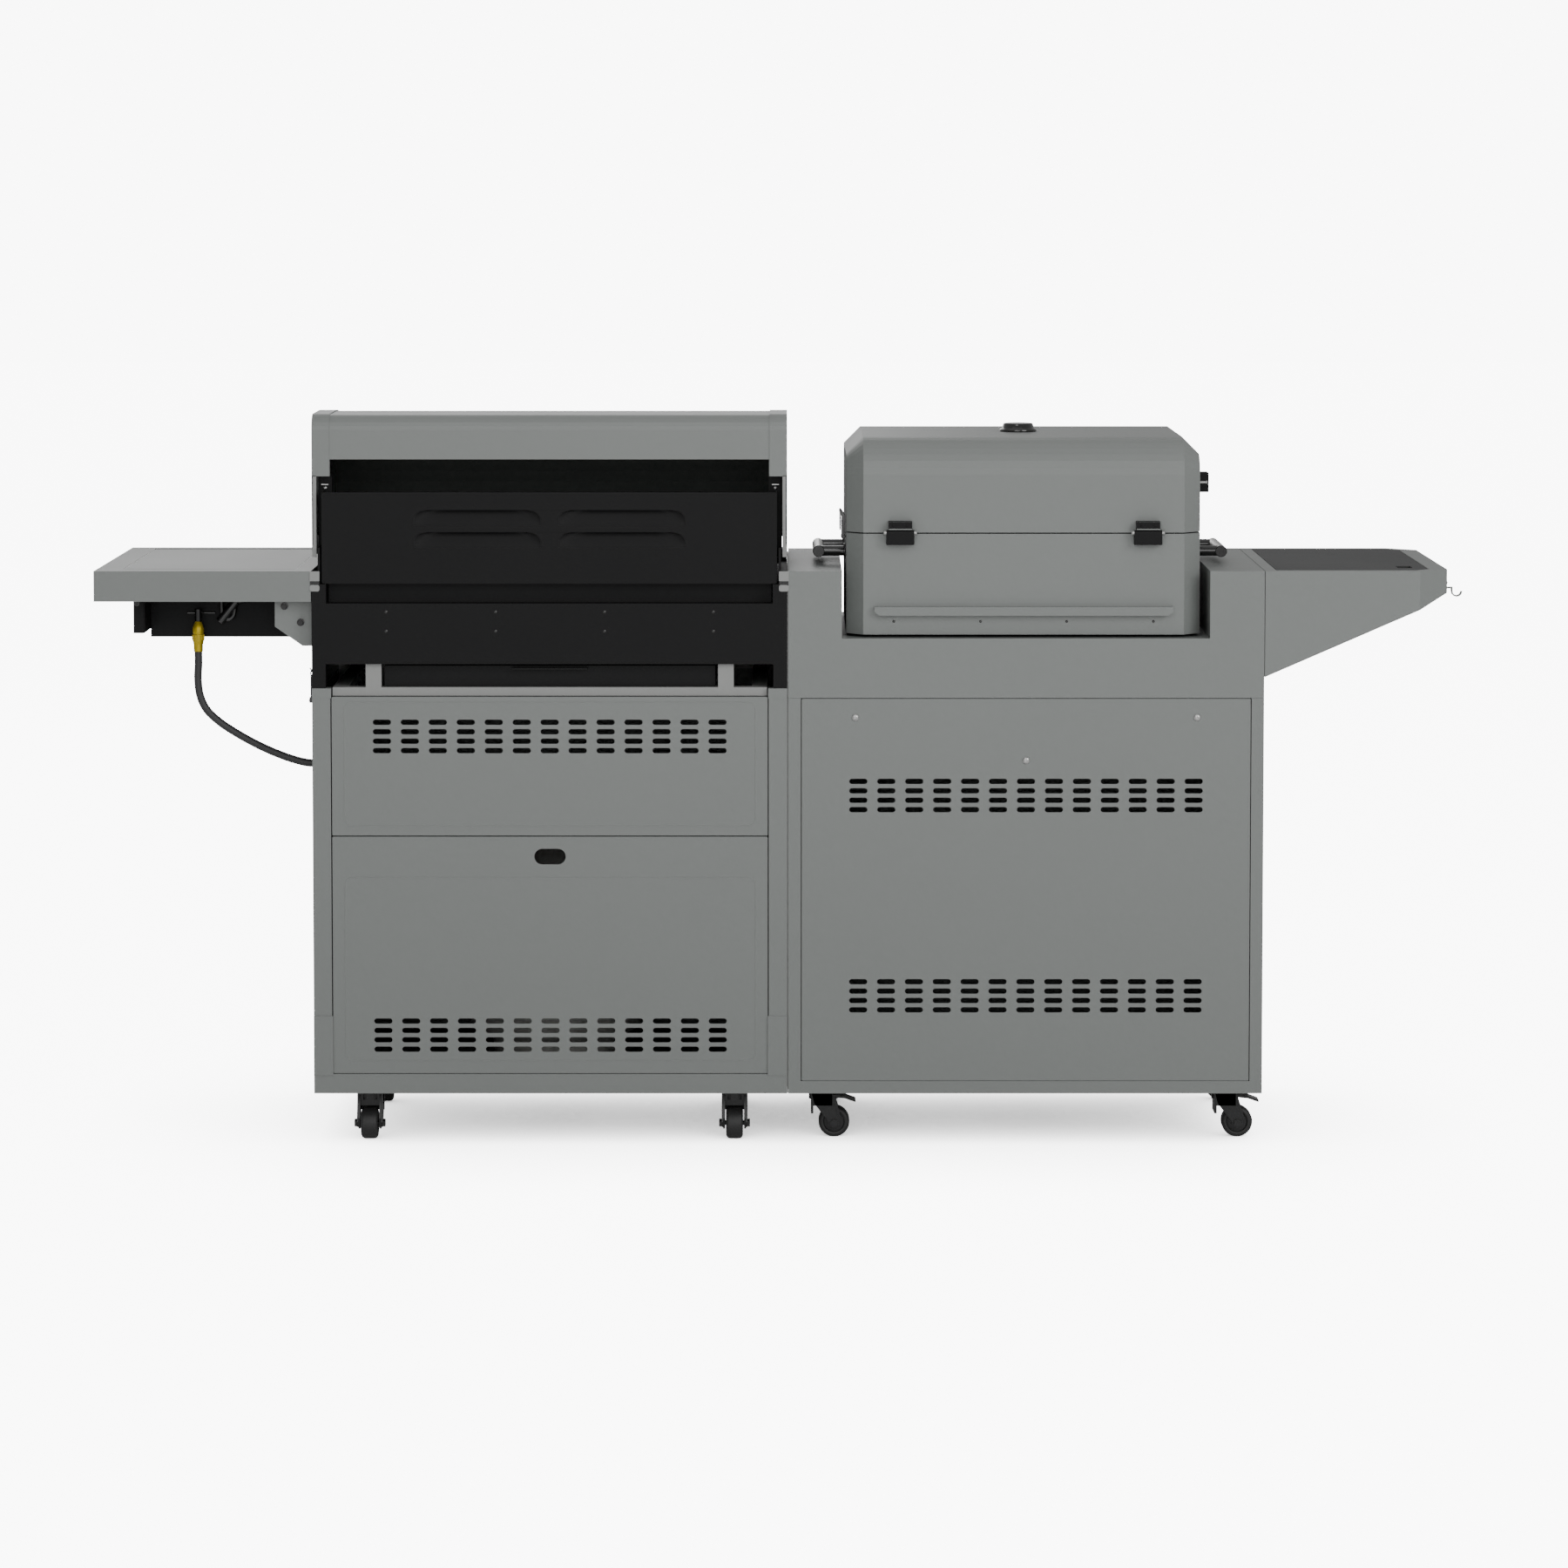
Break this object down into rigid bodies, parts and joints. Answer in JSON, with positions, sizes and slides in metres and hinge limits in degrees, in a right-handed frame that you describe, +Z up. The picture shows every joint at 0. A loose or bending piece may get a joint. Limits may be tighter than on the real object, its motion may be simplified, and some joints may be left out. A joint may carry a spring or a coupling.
{
  "type": "outdoor kitchen with gas grill and lift-off smoker",
  "caption": "Two-cart outdoor kitchen: a hooded gas grill with side-burner shelf beside a cabinet whose console holds a lift-off smoker and a tool bin",
  "frame": {"origin": "on the floor under the middle of the bounding box, hose left out", "axes": "+X along the kitchen towards the side-burner shelf, +Y to the rear, +Z up; the front faces -Y"},
  "size_m": [2.194, 0.564, 1.175],
  "materials": {
    "powder_gray": "satin grey powder coat",
    "zinc_gray": "plain grey paint on folded brackets",
    "charcoal_black": "semi-matt black high-temperature paint",
    "knob_plastic": "moulded black plastic",
    "board_plastic": "dark grained cutting-board plastic",
    "gloss_black": "gloss black",
    "handle_steel": "brushed stainless steel",
    "grate_iron": "matt cast iron",
    "cylinder_paint": "pale gloss paint",
    "hose_rubber": "dark grey rubber",
    "yellow_fitting": "yellow passivated brass",
    "caster_black": "black coated steel",
    "caster_tread": "hard black rubber"
  },
  "bodies": {
    "kitchen": {"grill_cart_frame": "powder_gray", "grill_back_upper": "powder_gray", "grill_back_lower": "powder_gray", "grill_cradle": "zinc_gray", "firebox": "charcoal_black", "firebox_skirt": "charcoal_black", "firebox_shield": "charcoal_black", "control_panel": "powder_gray", "cooking_grate": "grate_iron", "warming_rack": "handle_steel", "burner_set": "handle_steel", "gas_cylinder": "cylinder_paint", "shelf_frame": "powder_gray", "side_burner_pan": "charcoal_black", "gas_hose": "hose_rubber", "hose_fitting": "yellow_fitting", "hose_grommet": "hose_rubber", "cabinet_carcass": "powder_gray", "cabinet_back": "powder_gray", "console_top": "powder_gray", "side_bin": "powder_gray"},
    "hood": {"hood": "powder_gray", "hood_handle": "handle_steel"},
    "grill_door_outer": {"grill_door_outer": "powder_gray"},
    "grill_door_inner": {"grill_door_inner": "powder_gray"},
    "cabinet_door_inner": {"cabinet_door_inner": "powder_gray"},
    "cabinet_door_outer": {"cabinet_door_outer": "powder_gray"},
    "burner_knob_1": {"burner_knob_1": "knob_plastic"},
    "burner_knob_2": {"burner_knob_2": "knob_plastic"},
    "burner_knob_3": {"burner_knob_3": "knob_plastic"},
    "burner_knob_4": {"burner_knob_4": "knob_plastic"},
    "side_burner_knob": {"side_burner_knob": "knob_plastic"},
    "side_burner_lid": {"side_burner_lid": "powder_gray"},
    "grease_tray": {"grease_tray": "charcoal_black"},
    "bin_board": {"bin_board": "board_plastic"},
    "smoker": {"smoker_body": "powder_gray", "carry_handle_inner": "handle_steel", "carry_handle_outer": "handle_steel", "smoker_grate": "grate_iron", "charcoal_tray": "charcoal_black"},
    "smoker_lid": {"smoker_lid": "powder_gray", "smoker_lid_handle": "handle_steel"},
    "smoker_vent_cap": {"smoker_vent_cap": "gloss_black"},
    "smoker_latch": {"smoker_latch": "handle_steel"},
    "caster_grill_outer_rear": {"caster_fork_grill_outer_rear": "caster_black"},
    "wheel_grill_outer_rear": {"caster_wheel_grill_outer_rear": "caster_tread"},
    "caster_grill_inner_rear": {"caster_fork_grill_inner_rear": "caster_black"},
    "wheel_grill_inner_rear": {"caster_wheel_grill_inner_rear": "caster_tread"},
    "caster_cabinet_inner_rear": {"caster_fork_cabinet_inner_rear": "caster_black"},
    "wheel_cabinet_inner_rear": {"caster_wheel_cabinet_inner_rear": "caster_tread"},
    "caster_cabinet_outer_rear": {"caster_fork_cabinet_outer_rear": "caster_black"},
    "wheel_cabinet_outer_rear": {"caster_wheel_cabinet_outer_rear": "caster_tread"},
    "caster_grill_outer_front": {"caster_fork_grill_outer_front": "caster_black"},
    "wheel_grill_outer_front": {"caster_wheel_grill_outer_front": "caster_tread"},
    "caster_grill_inner_front": {"caster_fork_grill_inner_front": "caster_black"},
    "wheel_grill_inner_front": {"caster_wheel_grill_inner_front": "caster_tread"},
    "caster_cabinet_inner_front": {"caster_fork_cabinet_inner_front": "caster_black"},
    "wheel_cabinet_inner_front": {"caster_wheel_cabinet_inner_front": "caster_tread"},
    "caster_cabinet_outer_front": {"caster_fork_cabinet_outer_front": "caster_black"},
    "wheel_cabinet_outer_front": {"caster_wheel_cabinet_outer_front": "caster_tread"}
  },
  "joints": [
    {"name": "hood_hinge", "type": "hinge", "parent": "kitchen", "child": "hood", "pos_m": [0.369, 0.22089, 0.985], "axis": [-1, 0, 0], "range_deg": [0, 85]},
    {"name": "grill_door_outer_hinge", "type": "hinge", "parent": "kitchen", "child": "grill_door_outer", "pos_m": [0.741, -0.20311, 0.4], "axis": [0, 0, 1], "range_deg": [0, 110]},
    {"name": "grill_door_inner_hinge", "type": "hinge", "parent": "kitchen", "child": "grill_door_inner", "pos_m": [-0.003, -0.20311, 0.4], "axis": [0, 0, -1], "range_deg": [0, 80]},
    {"name": "cabinet_door_inner_hinge", "type": "hinge", "parent": "kitchen", "child": "cabinet_door_inner", "pos_m": [-0.021, -0.20311, 0.4], "axis": [0, 0, 1], "range_deg": [0, 80]},
    {"name": "cabinet_door_outer_hinge", "type": "hinge", "parent": "kitchen", "child": "cabinet_door_outer", "pos_m": [-0.766, -0.20311, 0.4], "axis": [0, 0, -1], "range_deg": [0, 110]},
    {"name": "burner_knob_1_turn", "type": "hinge", "parent": "kitchen", "child": "burner_knob_1", "pos_m": [0.144, -0.24518, 0.828], "axis": [0, -0.9916, 0.1296], "range_deg": [0, 200]},
    {"name": "burner_knob_2_turn", "type": "hinge", "parent": "kitchen", "child": "burner_knob_2", "pos_m": [0.294, -0.24518, 0.828], "axis": [0, -0.9916, 0.1296], "range_deg": [0, 200]},
    {"name": "burner_knob_3_turn", "type": "hinge", "parent": "kitchen", "child": "burner_knob_3", "pos_m": [0.444, -0.24518, 0.828], "axis": [0, -0.9916, 0.1296], "range_deg": [0, 200]},
    {"name": "burner_knob_4_turn", "type": "hinge", "parent": "kitchen", "child": "burner_knob_4", "pos_m": [0.594, -0.24518, 0.828], "axis": [0, -0.9916, 0.1296], "range_deg": [0, 200]},
    {"name": "side_burner_knob_turn", "type": "hinge", "parent": "kitchen", "child": "side_burner_knob", "pos_m": [0.9235, -0.20711, 0.9005], "axis": [0, -1, 0], "range_deg": [0, 200]},
    {"name": "side_burner_lid_hinge", "type": "hinge", "parent": "kitchen", "child": "side_burner_lid", "pos_m": [0.915, 0.23639, 0.919], "axis": [-1, 0, 0], "range_deg": [0, 95]},
    {"name": "grease_tray_slide", "type": "slide", "parent": "kitchen", "child": "grease_tray", "axis": [0, 1, 0], "range_m": [0, 0.32]},
    {"name": "bin_board_lift", "type": "slide", "parent": "kitchen", "child": "bin_board", "axis": [0, 0, 1], "range_m": [0, 0.1]},
    {"name": "smoker_lift", "type": "slide", "parent": "kitchen", "child": "smoker", "axis": [0, 0, 1], "range_m": [0, 0.15]},
    {"name": "smoker_lid_hinge", "type": "hinge", "parent": "smoker", "child": "smoker_lid", "pos_m": [-0.38975, 0.27489, 0.986], "axis": [-1, 0, 0], "range_deg": [0, 95]},
    {"name": "smoker_vent_turn", "type": "hinge", "parent": "smoker_lid", "child": "smoker_vent_cap", "pos_m": [-0.38975, 0.04789, 1.14], "axis": [0, 0, 1], "continuous": true},
    {"name": "smoker_latch_turn", "type": "hinge", "parent": "smoker", "child": "smoker_latch", "pos_m": [-0.1017, 0.18089, 0.974], "axis": [0, 1, 0], "range_deg": [0, 120]},
    {"name": "swivel_grill_outer_rear", "type": "hinge", "parent": "kitchen", "child": "caster_grill_outer_rear", "pos_m": [0.664, 0.20589, 0.075], "axis": [0, 0, 1], "continuous": true},
    {"name": "roll_grill_outer_rear", "type": "hinge", "parent": "caster_grill_outer_rear", "child": "wheel_grill_outer_rear", "pos_m": [0.664, 0.22589, 0.025], "axis": [1, 0, 0], "continuous": true},
    {"name": "swivel_grill_inner_rear", "type": "hinge", "parent": "kitchen", "child": "caster_grill_inner_rear", "pos_m": [0.074, 0.20589, 0.075], "axis": [0, 0, 1], "continuous": true},
    {"name": "roll_grill_inner_rear", "type": "hinge", "parent": "caster_grill_inner_rear", "child": "wheel_grill_inner_rear", "pos_m": [0.074, 0.22589, 0.025], "axis": [1, 0, 0], "continuous": true},
    {"name": "swivel_cabinet_inner_rear", "type": "hinge", "parent": "kitchen", "child": "caster_cabinet_inner_rear", "pos_m": [-0.067, 0.20589, 0.075], "axis": [0, 0, 1], "continuous": true},
    {"name": "roll_cabinet_inner_rear", "type": "hinge", "parent": "caster_cabinet_inner_rear", "child": "wheel_cabinet_inner_rear", "pos_m": [-0.087, 0.20589, 0.025], "axis": [0, 1, 0], "continuous": true},
    {"name": "swivel_cabinet_outer_rear", "type": "hinge", "parent": "kitchen", "child": "caster_cabinet_outer_rear", "pos_m": [-0.72, 0.20589, 0.075], "axis": [0, 0, 1], "continuous": true},
    {"name": "roll_cabinet_outer_rear", "type": "hinge", "parent": "caster_cabinet_outer_rear", "child": "wheel_cabinet_outer_rear", "pos_m": [-0.74, 0.20589, 0.025], "axis": [0, 1, 0], "continuous": true},
    {"name": "swivel_grill_outer_front", "type": "hinge", "parent": "kitchen", "child": "caster_grill_outer_front", "pos_m": [0.664, -0.11611, 0.075], "axis": [0, 0, 1], "continuous": true},
    {"name": "roll_grill_outer_front", "type": "hinge", "parent": "caster_grill_outer_front", "child": "wheel_grill_outer_front", "pos_m": [0.664, -0.09611, 0.025], "axis": [1, 0, 0], "continuous": true},
    {"name": "swivel_grill_inner_front", "type": "hinge", "parent": "kitchen", "child": "caster_grill_inner_front", "pos_m": [0.074, -0.11611, 0.075], "axis": [0, 0, 1], "continuous": true},
    {"name": "roll_grill_inner_front", "type": "hinge", "parent": "caster_grill_inner_front", "child": "wheel_grill_inner_front", "pos_m": [0.074, -0.09611, 0.025], "axis": [1, 0, 0], "continuous": true},
    {"name": "swivel_cabinet_inner_front", "type": "hinge", "parent": "kitchen", "child": "caster_cabinet_inner_front", "pos_m": [-0.067, -0.11611, 0.075], "axis": [0, 0, 1], "continuous": true},
    {"name": "roll_cabinet_inner_front", "type": "hinge", "parent": "caster_cabinet_inner_front", "child": "wheel_cabinet_inner_front", "pos_m": [-0.087, -0.11611, 0.025], "axis": [0, 1, 0], "continuous": true},
    {"name": "swivel_cabinet_outer_front", "type": "hinge", "parent": "kitchen", "child": "caster_cabinet_outer_front", "pos_m": [-0.72, -0.11611, 0.075], "axis": [0, 0, 1], "continuous": true},
    {"name": "roll_cabinet_outer_front", "type": "hinge", "parent": "caster_cabinet_outer_front", "child": "wheel_cabinet_outer_front", "pos_m": [-0.74, -0.11611, 0.025], "axis": [0, 1, 0], "continuous": true}
  ]
}
